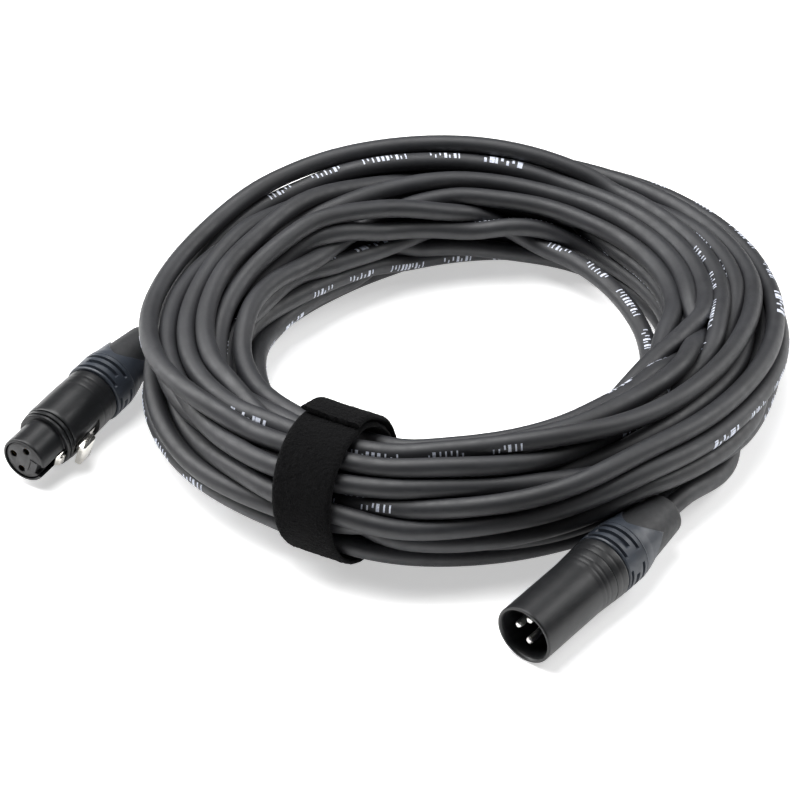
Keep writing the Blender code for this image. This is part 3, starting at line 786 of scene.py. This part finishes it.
def add_marks(line, finish):
    """Runs of marks along the cord, each turned its own way and bent around the jacket."""
    rng = np.random.default_rng(PLACING_SEED)
    bars = mark_bars(np.random.default_rng(BAR_SEED))
    _, up, side = cross_axes(line)
    along = np.arange(len(line)) * np.linalg.norm(line[1] - line[0])
    points, faces = [], []
    for start in np.arange(MARKS_FROM, along[-1] - MARKS_LENGTH, MARKS_EVERY):
        k = int(np.searchsorted(along, start + MARKS_MIDDLE))
        facing = math.atan2(float(MARKS_FACE @ side[k]), float(MARKS_FACE @ up[k]))
        facing += rng.uniform(-math.pi, math.pi)
        for begin, length, low, high in bars:
            at = np.array([start + begin, start + begin + length])
            centre, u, v = (
                np.stack([np.interp(at, along, a[:, c]) for c in range(3)], 1) for a in (line, up, side)
            )
            lean = facing + np.linspace(low, high, BAR_POINTS) / CABLE_RADIUS
            faces += bar_faces(len(points))
            for radius in (CABLE_RADIUS + INK, CABLE_RADIUS - 2 * INK):
                for end in range(2):
                    for angle in lean:
                        out = math.cos(angle) * u[end] + math.sin(angle) * v[end]
                        points.append(centre[end] + radius * out)
    marks = outward(add_mesh("cable_print", points, faces, finish, smooth=False))
    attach(marks, "cable")


# ------------------------------ the connectors

LINE_DEPTH, LINE_HALF, LINES_ABOVE = 0.09, 0.2, 9.0
SHELL_STEP, SHELL_TURN_STEPS = 0.4, 128
# The ring nut's three slots in each row: (from, to, half their length in degrees).
SLOT_ROWS = [(40.2, 41.2, 47.0), (42.7, 44.3, 34.0), (45.9, 46.9, 47.0)]
SLOT_DEPTH, SLOTS_ABOVE, SLOT_EDGE = 1.1, 9.6, (0.12, 1.5)
PETALS, PETAL_ROOT, PETAL_TIP = 3, 51.2, 60.2
PETAL_TAPER, PETAL_CURVE = 1.05, 1.25
NUT_REAR, REAR_LENGTH = 49.0, 10.0
REAR_EDGE, COLLAR_LENGTH = 10.3, 3.5
OVER_BOOT = 100.0
NUT_STEP, NUT_TURN_STEPS = 0.12, 240
BOOT_AT, BOOT_RADII = [49.2, 52.0, 57.0, 65.0, 70.8, 71.6, 72.0], [9.5, 9.15, 8.6, 7.6, 6.85, 6.6, 6.1]
CONTACT_CIRCLE = 4.1
PIN_PROFILE = [
    (2.5, 0.02), (2.5, 0.55), (2.56, 0.78), (2.7, 0.95), (2.95, 1.09), (3.3, 1.18), (3.8, 1.2), (23.7, 1.2),
    (23.8, 1.8), (24.6, 1.8), (24.7, 1.5), (28.9, 1.5), (29.0, 1.4), (29.0, 1.0), (25.6, 1.0), (25.4, 0.02),
]


def connector_place(face, boot_end, roll):
    """The matrix of a connector: X runs back from the face's middle, and the key is on the side of Z."""
    along = (boot_end - face).normalized()
    left = Vector((0, 0, 1)).cross(along).normalized()
    axes = Matrix((along, left, along.cross(left))).transposed().to_4x4()
    return Matrix.Translation(face * MM) @ axes @ Matrix.Rotation(roll, 4, "X")


def turned_lines(*places):
    """A relief for lathe(): shallow lines around the outside of a shell."""

    def relief(x, r, turn):
        for place in places:
            r = r - LINE_DEPTH * np.clip(1.6 - 1.6 * np.abs(x - place) / LINE_HALF, 0, 1) * (r > LINES_ABOVE)
        return x, r

    return relief


def fine(profile, step):
    """The same line with points at most a step apart."""
    line = []
    for (x0, r0), (x1, r1) in zip(profile, profile[1:]):
        count = max(1, math.ceil(math.hypot(x1 - x0, r1 - r0) / step))
        line += [(x0 + (x1 - x0) * k / count, r0 + (r1 - r0) * k / count) for k in range(count)]
    return [*line, profile[-1]]


def turned_shell(name, outline, lines, finish, place):
    """A connector's shell, from a closed outline and the places of its turned lines."""
    profile = fine([*outline, outline[0]], SHELL_STEP)[:-1]
    return lathe(name, profile, finish, place, SHELL_TURN_STEPS, turned_lines(*lines))


def finished_as(obj, body, slot, *nodes):
    """Rides the piece on its body, in the place of the CAD nodes. The slot argument is not used."""
    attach(obj, body)
    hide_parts(*nodes)


def add_male_housing(place, finish):
    outline = [
        (0.0, 8.85), (0.0, 9.35), (0.05, 9.5), (0.17, 9.61), (0.36, 9.68), (0.6, 9.7), (26.6, 9.7),
        (27.0, 9.73), (32.7, 10.08), (33.0, 10.08), (33.1, 9.98), (33.5, 9.98), (33.6, 10.12), (34.5, 10.22),
        (37.5, 10.4), (38.5, 10.4), (38.85, 10.25), (39.0, 10.0), (39.0, 8.4), (47.0, 8.4), (47.0, 7.6),
        (24.0, 7.6), (24.0, 8.2), (1.5, 8.2), (0.5, 8.45),
    ]
    shell = turned_shell("male_shell", outline, (28.6, 30.4, 35.9), finish, place)
    key = [(2.5, 7.1), (15.0, 7.1), (15.0, 8.6), (2.5, 8.6)]
    combine(shell, block(key, 0.8, place, finish), "UNION")
    finished_as(shell, "cable", "black_shell", "male_housing")


def add_female_housing(place, finish):
    outline = [
        (0.0, 7.0), (0.0, 7.4), (0.1, 7.62), (0.3, 7.8), (0.6, 7.88), (1.0, 7.9), (11.4, 7.9), (11.5, 8.0),
        (11.5, 9.2), (11.6, 9.45), (11.8, 9.6), (12.5, 9.62), (12.65, 9.5), (12.7, 9.1), (13.1, 9.1),
        (13.15, 9.7), (13.3, 9.82), (14.3, 9.82), (14.45, 9.7), (14.5, 9.35), (14.9, 9.35), (14.95, 9.8),
        (15.2, 9.98), (16.0, 10.1), (28.0, 10.12), (38.3, 9.82), (38.8, 9.7), (39.0, 9.4), (39.0, 8.4),
        (47.0, 8.4), (47.0, 7.6), (24.0, 7.6), (24.0, 7.0),
    ]
    shell = turned_shell("female_shell", outline, (31.6, 33.8, 36.0), finish, place)
    latch_room = [
        (-1.0, 4.9), (28.4, 4.9), (28.4, 13.0), (15.3, 13.0), (15.3, 8.8), (11.2, 8.8), (11.2, 13.0),
        (-1.0, 13.0),
    ]
    combine(shell, block(latch_room, 2.3, place, finish), "DIFFERENCE")
    button_room = [(13.4, 9.4), (28.4, 9.0), (28.4, 13.0), (13.4, 13.0)]
    combine(shell, block(button_room, 4.6, place, finish), "DIFFERENCE")
    finished_as(shell, "cable", "black_shell", "female_housing")


def boot_radius(x):
    return np.interp(x, BOOT_AT, BOOT_RADII)


def petal_end(turn):
    """How far back the ring nut reaches at each turn: three pointed petals with arches between them."""
    wave = np.abs(((turn * PETALS / TAU + 0.5) % 1.0) - 0.5) * 2
    return PETAL_ROOT + (PETAL_TIP - PETAL_ROOT) * np.clip(1 - wave * PETAL_TAPER, 0, 1) ** PETAL_CURVE


def bushing_relief(x, r, turn):
    """Cuts the rows of slots, and draws the rear out into petals."""
    from_middle = np.abs(np.degrees(turn) % 120.0 - 60.0)
    for low, high, half in SLOT_ROWS:
        across = np.clip(np.minimum(x - low, high - x) / SLOT_EDGE[0] + 0.5, 0, 1)
        along = np.clip((half - from_middle) / SLOT_EDGE[1], 0, 1)
        r = r - SLOT_DEPTH * across * along * (r > SLOTS_ABOVE)
    rear = x > NUT_REAR
    share = np.clip((x - NUT_REAR) / REAR_LENGTH, 0, 1)
    end = np.broadcast_to(petal_end(turn), x.shape)
    new_x = np.where(rear, NUT_REAR + share * (end - NUT_REAR), x)
    over = r - OVER_BOOT
    petal = boot_radius(new_x) + over
    collar = np.clip((new_x - NUT_REAR) / COLLAR_LENGTH, 0, 1)
    shaped = np.where(over > 0.3, (1 - collar) * REAR_EDGE + collar * petal, petal)
    return new_x, np.where(rear, shaped, r)


def add_bushing(prefix, place, finish, spin):
    """The ring nut. In its rear a radius is given as OVER_BOOT and a height over the boot's surface."""
    front = [
        (39.3, 8.8), (39.3, 9.9), (39.36, 10.15), (39.5, 10.35), (39.75, 10.47), (40.0, 10.5), (48.2, 10.5),
        (48.3, 10.32), (48.5, 10.32), (48.6, 10.46), (48.9, 10.35), (48.95, REAR_EDGE),
    ]
    rear = [(NUT_REAR + REAR_LENGTH * k / 24, OVER_BOOT + 0.62) for k in range(1, 24)]
    rear += [(58.9, OVER_BOOT + 0.5), (59.0, OVER_BOOT + 0.3), (59.0, OVER_BOOT - 0.2)]
    back = [(NUT_REAR + REAR_LENGTH - REAR_LENGTH * k / 12, OVER_BOOT - 0.4) for k in range(1, 12)]
    inside = [(48.9, 7.6), (48.9, 4.6), (47.5, 5.6), (47.5, 8.8)]
    profile = fine(front, NUT_STEP) + rear + back + inside
    turned = place @ Matrix.Rotation(spin, 4, "X")
    nut = lathe(f"{prefix}_bushing_ring", profile, finish, turned, NUT_TURN_STEPS, bushing_relief, 28.0)
    finished_as(nut, f"{prefix}_boot_nut", "grey_plastic", f"{prefix}_bushing")


def add_boot(prefix, place, finish):
    outside = [(x, float(boot_radius(x)) + 0.02) for x in np.linspace(49.2, 71.9, 44)]
    profile = [(49.2, 3.5), *outside, (72.0, 5.9), (72.0, 4.1), (71.6, 3.5)]
    boot = lathe(f"{prefix}_rubber_boot", profile, finish, place, 96)
    finished_as(boot, f"{prefix}_boot_nut", "boot_rubber", f"{prefix}_boot")


def add_face_marks(place, finish):
    """A raised corner on the female face that shows which way round it goes."""
    pieces = []
    for bottom, top, half, middle in ((2.0, 4.6, 0.17, 1.9), (2.0, 2.34, 2.6, -0.55)):
        moved = place @ Matrix.Translation((0, middle * MM, 0))
        pieces.append(block([(0.05, bottom), (0.5, bottom), (0.5, top), (0.05, top)], half, moved, finish))
    first, second = pieces
    combine(first, second, "UNION")
    first.name = "female_face_mark"
    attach(first, "cable")


def add_pins(place, finish):
    """The male connector's turned contacts, with round noses."""
    for number, (left, up) in enumerate([(-1, 0), (1, 0), (0, -1)], 1):
        moved = place @ Matrix.Translation((0, left * CONTACT_CIRCLE * MM, up * CONTACT_CIRCLE * MM))
        pin = lathe(f"male_contact_{number}", PIN_PROFILE, finish, moved, 32)
        finished_as(pin, "cable", "silver_contact", f"male_pin_{number}")


# ------------------------------ the tie

STRAP_WIDTH, STRAP_THICKNESS = 20.0, 1.6
STRAP_INNER = (20.9, 20.3)
STRAP_HEIGHT, STRAP_FOOT = 21.9, 21.85
STRAP_LEAN = 3.0
STRAP_STEPS, TAB_STEPS, BAND_POINTS = 420, 90, 44
TAB_FROM, TAB_TO = math.radians(97), math.radians(166)
TAB_GAP = 0.35
EDGE_ROUNDING = 1.1
NOISE_COLUMNS = 256


def tie_place():
    away = Vector((math.cos(TIE_AT), math.sin(TIE_AT), 0))
    middle = Vector((*COIL_CENTRE, 0)) + away * TIED_RADIUS + Vector((0, 0, STRAP_HEIGHT))
    return Matrix.Translation(middle * MM) @ Matrix.Rotation(TIE_AT, 4, "Z")


def value_noise(u, v, seed, period):
    """Smooth noise from -1 to 1 on a grid that repeats along u after a whole number of cells."""
    rng = np.random.default_rng(seed)
    table = rng.uniform(-1, 1, (period, NOISE_COLUMNS))
    u, v = np.broadcast_arrays(u, v)
    i, j = np.floor(u).astype(int), np.floor(v).astype(int)
    a, b = u - i, v - j
    a, b = a * a * (3 - 2 * a), b * b * (3 - 2 * b)
    here, after = i % period, (i + 1) % period
    low, high = j % NOISE_COLUMNS, (j + 1) % NOISE_COLUMNS
    near_side = table[here, low] * (1 - a) + table[after, low] * a
    far_side = table[here, high] * (1 - a) + table[after, high] * a
    return near_side * (1 - b) + far_side * b


def band(name, turns, closed, lift, finish, seed, ripple=None):
    """A strap around the bundle at the given angles, with a pile on its outside and soft edges."""
    ends = np.linspace(-1, 1, BAND_POINTS)
    outer = np.concatenate([np.ones(BAND_POINTS), np.zeros(BAND_POINTS)])
    t, a = turns[:, None], np.concatenate([ends, ends[::-1]])[None, :]
    edge = np.clip((1 - np.abs(a)) * STRAP_WIDTH / 2 / EDGE_ROUNDING, 0, 1) ** 0.5
    rows, columns = len(turns), 2 * BAND_POINTS
    period = max(8, round(rows * 0.75))
    cell = np.arange(rows)[:, None] * period / rows
    pile = 0.17 * value_noise(cell, (a + 1) * 21, seed, period)
    pile = pile + 0.10 * value_noise(cell * 2, (a + 1) * 43, seed + 1, period * 2)
    out = lift + STRAP_THICKNESS * outer * (0.55 + 0.45 * edge) + pile * outer * edge
    if not closed:
        out = out + 0.22 * value_noise(cell * 0.04, (a + 1) * 1.3, seed + 2, period)
    out = out + STRAP_THICKNESS * 0.22 * (1 - outer) * (1 - edge)
    if ripple:
        out = out + ripple(t, a)
    half = STRAP_WIDTH / 2 * (1 + 0.006 * value_noise(cell * 0.5, 3.5, seed + 3, period))
    x = (STRAP_INNER[0] + out) * np.cos(t)
    z = np.maximum((STRAP_INNER[1] + out) * np.sin(t), -STRAP_FOOT)
    y = a * half - STRAP_LEAN * z / STRAP_INNER[1]
    faces = [tuple(f) for f in grid_faces(rows, columns, closed, True)]
    for row in () if closed else (0, rows - 1):
        for k in range(BAND_POINTS - 1):
            faces.append(tuple(row * columns + q for q in (k, k + 1, columns - 2 - k, columns - 1 - k)))
    obj = outward(add_mesh(name, np.stack([x, y, z], -1).reshape(-1, 3), faces, finish, sharp=75.0))
    obj.data.transform(tie_place())
    return obj


def tab_ripple(t, a):
    """The tab doesn't lie flat: it has soft humps along it, and one corner that stands up."""
    along = (t - TAB_FROM) / (TAB_TO - TAB_FROM)
    humps = 0.55 * np.sin(along * math.pi) * (1 + 0.5 * np.sin(along * 9.0 + 0.8 * a))
    corner = 0.9 * np.clip(1 - along * 4.0, 0, 1) ** 2 * np.clip(-a, 0, 1)
    return humps + corner


def add_tie(finish):
    around = np.linspace(0, TAU, STRAP_STEPS, endpoint=False)
    strap = band("tie_fabric", around, True, 0.0, finish, 31)
    finished_as(strap, "cable", "tie_fabric", "tie_strap")
    tab_turns = np.linspace(TAB_FROM, TAB_TO, TAB_STEPS)
    tab = band("tie_tab_fabric", tab_turns, False, STRAP_THICKNESS + TAB_GAP, finish, 47, tab_ripple)
    finished_as(tab, "tab", "tie_fabric", "tie_tab")


# ------------------------------ everything together


MALE_SPIN, FEMALE_SPIN = math.radians(-58), math.radians(52)


def recolour(finish, *nodes):
    for node in nodes:
        slots = NODES[node].data.materials
        slots.clear()
        slots.append(finish)


def add_connectors():
    shell = shell_material()
    black = moulded("black_nylon", (0.010, 0.010, 0.011), (0.018, 0.018, 0.020), 0.38, 0.52)
    grey = moulded("grey_blue_nylon", (0.026, 0.032, 0.043), (0.038, 0.046, 0.060), 0.36, 0.48)
    rubber = moulded("boot_elastomer", (0.013, 0.0135, 0.015), (0.020, 0.021, 0.023), 0.50, 0.64, 1600.0)
    white = moulded("white_nylon", (0.50, 0.50, 0.47), (0.64, 0.63, 0.60), 0.40, 0.55)
    nickel = metal("nickel_plate", (0.62, 0.60, 0.56), (0.72, 0.70, 0.66), 0.14, 0.20)
    silver = metal("silver_plate", (0.80, 0.79, 0.76), (0.92, 0.91, 0.89), 0.34, 0.46)
    brass = metal("brass_socket", (0.55, 0.40, 0.20), (0.74, 0.57, 0.30), 0.22, 0.36)
    copper = metal("bare_copper", (0.62, 0.32, 0.20), (0.76, 0.44, 0.30), 0.28, 0.42)
    red = moulded("red_insulation", (0.45, 0.03, 0.025), (0.60, 0.05, 0.04), 0.40, 0.52)
    pale = moulded("pale_insulation", (0.62, 0.62, 0.59), (0.76, 0.75, 0.72), 0.40, 0.52)

    male = connector_place(MALE_FACE, MALE_BOOT_END, MALE_ROLL)
    female = connector_place(FEMALE_FACE, FEMALE_BOOT_END, FEMALE_ROLL)
    add_male_housing(male, shell)
    add_female_housing(female, shell)
    add_pins(male, silver)
    for prefix, place, spin in (("male", male, MALE_SPIN), ("female", female, FEMALE_SPIN)):
        add_bushing(prefix, place, grey, spin)
        add_boot(prefix, place, rubber)
        recolour(white, f"{prefix}_chuck")
        recolour(nickel, f"{prefix}_earth_spring")
        recolour(red, f"{prefix}_hot_core")
        recolour(pale, f"{prefix}_cold_core")
        recolour(copper, f"{prefix}_shield_lead")
    softened("male_insert", 0.2, black, "cable")
    softened("female_insert", 0.15, black, "cable")
    button = [(14.4, 10.9), (21.8, 10.9), (21.4, 12.6), (20.6, 13.0), (15.1, 13.1), (14.5, 12.7)]
    softened("latch_lever", 0.25, nickel, "latch", block(button, 4.1, female, nickel))
    recolour(nickel, "latch_pin", "latch_spring")
    recolour(brass, *[f"female_socket_{k}" for k in (1, 2, 3)])
    add_face_marks(female, black)


def male_pieces():
    """Everything on the cord's far end."""
    names = ["male_shell", "male_bushing_ring", "male_rubber_boot", "male_insert_finished"]
    names += [f"male_contact_{k}" for k in (1, 2, 3)]
    names += [f"male_{part}" for part in ("chuck", "earth_spring", "hot_core", "cold_core", "shield_lead")]
    return [bpy.data.objects[name] for name in names]


add_camera()
add_light()
cord, cord_line = add_cord(jacket_material())
add_connectors()
add_marks(cord_line, print_material())
add_tie(fabric_material())
add_floor()
male_pieces()
bpy.context.view_layer.update()
